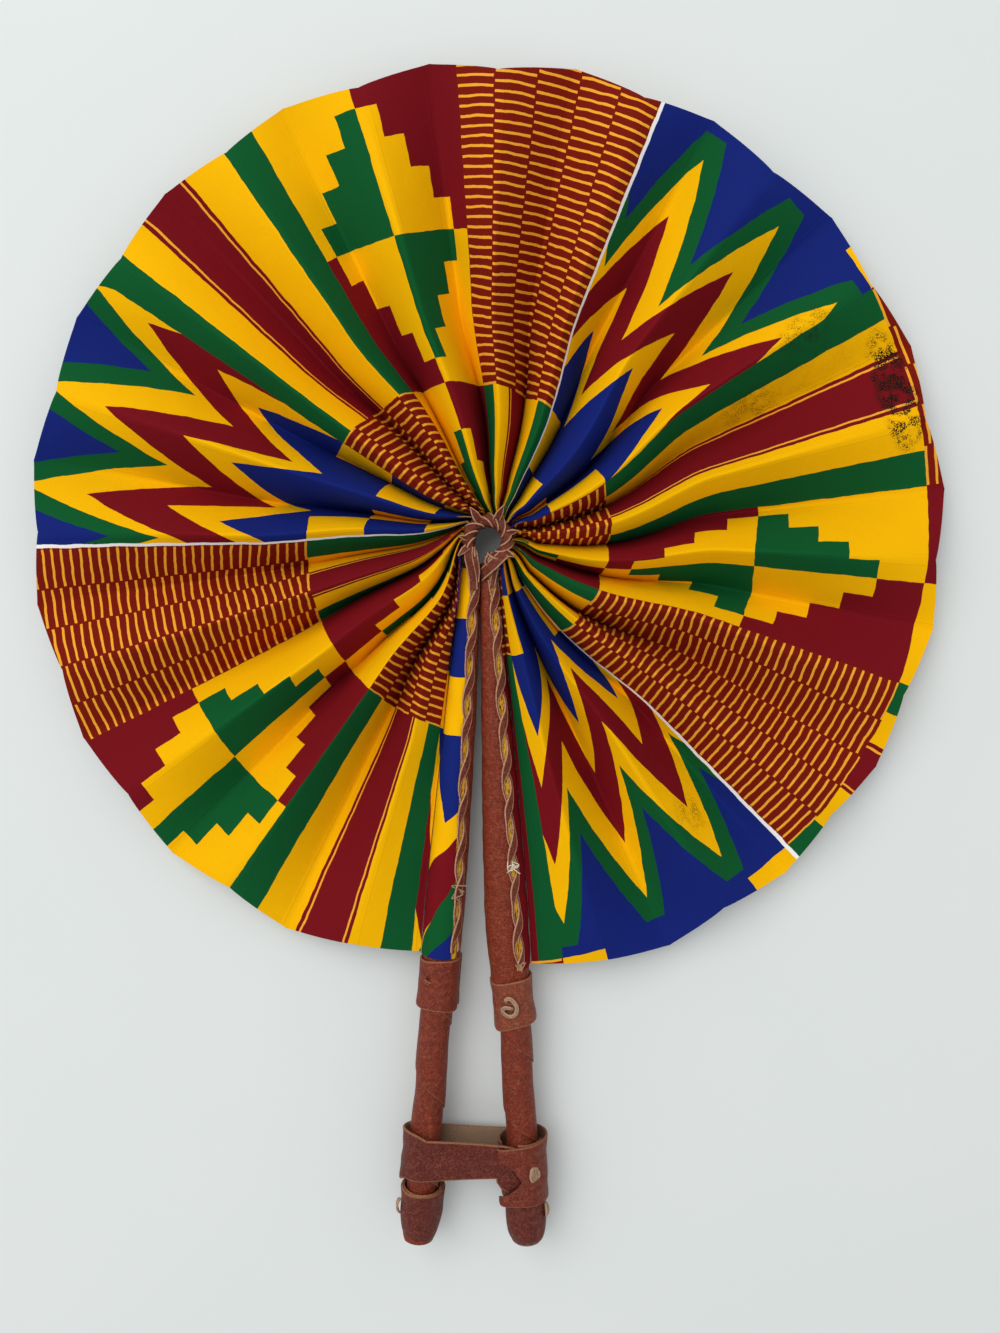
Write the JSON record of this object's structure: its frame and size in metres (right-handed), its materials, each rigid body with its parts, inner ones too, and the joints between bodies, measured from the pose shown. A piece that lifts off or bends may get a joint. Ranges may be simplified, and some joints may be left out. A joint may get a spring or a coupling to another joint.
{
  "type": "folding fan",
  "caption": "Round pleated cloth fan that opens to a full disc between two leather-wrapped sticks, with a laced hub and a strap that holds the handles together.",
  "frame": {"origin": "on the surface that the open fan lies on, under the middle of its outline", "axes": "+Z leaves the fan's face, +Y runs from the handles to the top of the leaf, +X is to the right of the face"},
  "size_m": [0.3698, 0.4876, 0.0293],
  "materials": {
    "cloth": "printed cotton, stiffened in pleats",
    "leather": "red-brown tanned goatskin, satin",
    "handle_leather": "red-brown tanned goatskin, rubbed",
    "thong": "narrow cut thong with raw tan edges",
    "wood": "plain round stick"
  },
  "bodies": {
    "right_guard": {"right_stick_core": "wood", "right_stick_sleeve": "leather", "right_handle_wrap": "handle_leather", "right_collar": "leather", "right_collar_knot": "thong", "right_end_cap": "handle_leather", "right_cap_knot": "thong", "right_edge_lacing": "thong", "right_cloth_wrap": "cloth", "hub_gather": "cloth", "hub_lacing": "thong"},
    "strap": {"strap_loop": "handle_leather", "strap_knot": "thong"},
    "leaf_01": {"pleat_01": "cloth"},
    "leaf_02": {"pleat_02": "cloth"},
    "leaf_03": {"pleat_03": "cloth"},
    "leaf_04": {"pleat_04": "cloth"},
    "leaf_05": {"pleat_05": "cloth"},
    "leaf_06": {"pleat_06": "cloth"},
    "leaf_07": {"pleat_07": "cloth"},
    "leaf_08": {"pleat_08": "cloth"},
    "leaf_09": {"pleat_09": "cloth"},
    "leaf_10": {"pleat_10": "cloth"},
    "leaf_11": {"pleat_11": "cloth"},
    "leaf_12": {"pleat_12": "cloth"},
    "leaf_13": {"pleat_13": "cloth"},
    "leaf_14": {"pleat_14": "cloth"},
    "leaf_15": {"pleat_15": "cloth"},
    "leaf_16": {"pleat_16": "cloth"},
    "leaf_17": {"pleat_17": "cloth"},
    "leaf_18": {"pleat_18": "cloth"},
    "left_guard": {"pleat_19": "cloth", "left_stick_core": "wood", "left_stick_sleeve": "leather", "left_handle_wrap": "handle_leather", "left_collar": "leather", "left_collar_knot": "thong", "left_end_cap": "handle_leather", "left_cap_knot": "thong", "left_edge_lacing": "thong", "left_cloth_wrap": "cloth"}
  },
  "joints": [
    {"name": "fold_01", "type": "hinge", "parent": "right_guard", "child": "leaf_01", "pos_m": [0.00436, 0.05239, 0.01473], "axis": [0, 0, -1], "range_deg": [0, 18.53], "deforming": ["pleat_01", "hub_gather", "hub_lacing", "strap_loop"]},
    {"name": "fold_02", "type": "hinge", "parent": "leaf_01", "child": "leaf_02", "pos_m": [0.0058, 0.05363, 0.01473], "axis": [0, 0, -1], "range_deg": [0, 18.53], "deforming": ["pleat_02"]},
    {"name": "fold_03", "type": "hinge", "parent": "leaf_02", "child": "leaf_03", "pos_m": [0.00689, 0.05517, 0.01473], "axis": [0, 0, -1], "range_deg": [0, 18.53], "deforming": ["pleat_03"]},
    {"name": "fold_04", "type": "hinge", "parent": "leaf_03", "child": "leaf_04", "pos_m": [0.00758, 0.05693, 0.01473], "axis": [0, 0, -1], "range_deg": [0, 18.53], "deforming": ["pleat_04"]},
    {"name": "fold_05", "type": "hinge", "parent": "leaf_04", "child": "leaf_05", "pos_m": [0.00782, 0.0588, 0.01473], "axis": [0, 0, -1], "range_deg": [0, 18.53], "deforming": ["pleat_05"]},
    {"name": "fold_06", "type": "hinge", "parent": "leaf_05", "child": "leaf_06", "pos_m": [0.0076, 0.06068, 0.01473], "axis": [0, 0, -1], "range_deg": [0, 18.53], "deforming": ["pleat_06"]},
    {"name": "fold_07", "type": "hinge", "parent": "leaf_06", "child": "leaf_07", "pos_m": [0.00694, 0.06245, 0.01473], "axis": [0, 0, -1], "range_deg": [0, 18.53], "deforming": ["pleat_07"]},
    {"name": "fold_08", "type": "hinge", "parent": "leaf_07", "child": "leaf_08", "pos_m": [0.00586, 0.06401, 0.01473], "axis": [0, 0, -1], "range_deg": [0, 18.53], "deforming": ["pleat_08"]},
    {"name": "fold_09", "type": "hinge", "parent": "leaf_08", "child": "leaf_09", "pos_m": [0.00444, 0.06525, 0.01473], "axis": [0, 0, -1], "range_deg": [0, 18.53], "deforming": ["pleat_09"]},
    {"name": "fold_10", "type": "hinge", "parent": "leaf_09", "child": "leaf_10", "pos_m": [0.00276, 0.06612, 0.01473], "axis": [0, 0, -1], "range_deg": [0, 18.53], "deforming": ["pleat_10"]},
    {"name": "fold_11", "type": "hinge", "parent": "leaf_10", "child": "leaf_11", "pos_m": [0.00092, 0.06656, 0.01473], "axis": [0, 0, -1], "range_deg": [0, 18.53], "deforming": ["pleat_11"]},
    {"name": "fold_12", "type": "hinge", "parent": "leaf_11", "child": "leaf_12", "pos_m": [-0.00097, 0.06653, 0.01473], "axis": [0, 0, -1], "range_deg": [0, 18.53], "deforming": ["pleat_12"]},
    {"name": "fold_13", "type": "hinge", "parent": "leaf_12", "child": "leaf_13", "pos_m": [-0.0028, 0.06605, 0.01473], "axis": [0, 0, -1], "range_deg": [0, 18.53], "deforming": ["pleat_13"]},
    {"name": "fold_14", "type": "hinge", "parent": "leaf_13", "child": "leaf_14", "pos_m": [-0.00446, 0.06514, 0.01473], "axis": [0, 0, -1], "range_deg": [0, 18.53], "deforming": ["pleat_14"]},
    {"name": "fold_15", "type": "hinge", "parent": "leaf_14", "child": "leaf_15", "pos_m": [-0.00585, 0.06385, 0.01473], "axis": [0, 0, -1], "range_deg": [0, 18.53], "deforming": ["pleat_15"]},
    {"name": "fold_16", "type": "hinge", "parent": "leaf_15", "child": "leaf_16", "pos_m": [-0.00688, 0.06227, 0.01473], "axis": [0, 0, -1], "range_deg": [0, 18.53], "deforming": ["pleat_16"]},
    {"name": "fold_17", "type": "hinge", "parent": "leaf_16", "child": "leaf_17", "pos_m": [-0.0075, 0.06049, 0.01473], "axis": [0, 0, -1], "range_deg": [0, 18.53], "deforming": ["pleat_17"]},
    {"name": "fold_18", "type": "hinge", "parent": "leaf_17", "child": "leaf_18", "pos_m": [-0.00767, 0.0586, 0.01473], "axis": [0, 0, -1], "range_deg": [0, 18.53], "deforming": ["pleat_18"]},
    {"name": "fold_19", "type": "hinge", "parent": "leaf_18", "child": "left_guard", "pos_m": [-0.00738, 0.05673, 0.01473], "axis": [0, 0, -1], "range_deg": [0, 18.53], "deforming": ["pleat_19"]},
    {"name": "strap_slide", "type": "slide", "parent": "right_guard", "child": "strap", "axis": [-0.0576, 0.9983, 0], "range_m": [0, 0.04]}
  ],
  "couplings": [
    {"joint": "fold_02", "follows": "fold_01", "ratio": 1},
    {"joint": "fold_03", "follows": "fold_01", "ratio": 1},
    {"joint": "fold_04", "follows": "fold_01", "ratio": 1},
    {"joint": "fold_05", "follows": "fold_01", "ratio": 1},
    {"joint": "fold_06", "follows": "fold_01", "ratio": 1},
    {"joint": "fold_07", "follows": "fold_01", "ratio": 1},
    {"joint": "fold_08", "follows": "fold_01", "ratio": 1},
    {"joint": "fold_09", "follows": "fold_01", "ratio": 1},
    {"joint": "fold_10", "follows": "fold_01", "ratio": 1},
    {"joint": "fold_11", "follows": "fold_01", "ratio": 1},
    {"joint": "fold_12", "follows": "fold_01", "ratio": 1},
    {"joint": "fold_13", "follows": "fold_01", "ratio": 1},
    {"joint": "fold_14", "follows": "fold_01", "ratio": 1},
    {"joint": "fold_15", "follows": "fold_01", "ratio": 1},
    {"joint": "fold_16", "follows": "fold_01", "ratio": 1},
    {"joint": "fold_17", "follows": "fold_01", "ratio": 1},
    {"joint": "fold_18", "follows": "fold_01", "ratio": 1},
    {"joint": "fold_19", "follows": "fold_01", "ratio": 1}
  ]
}
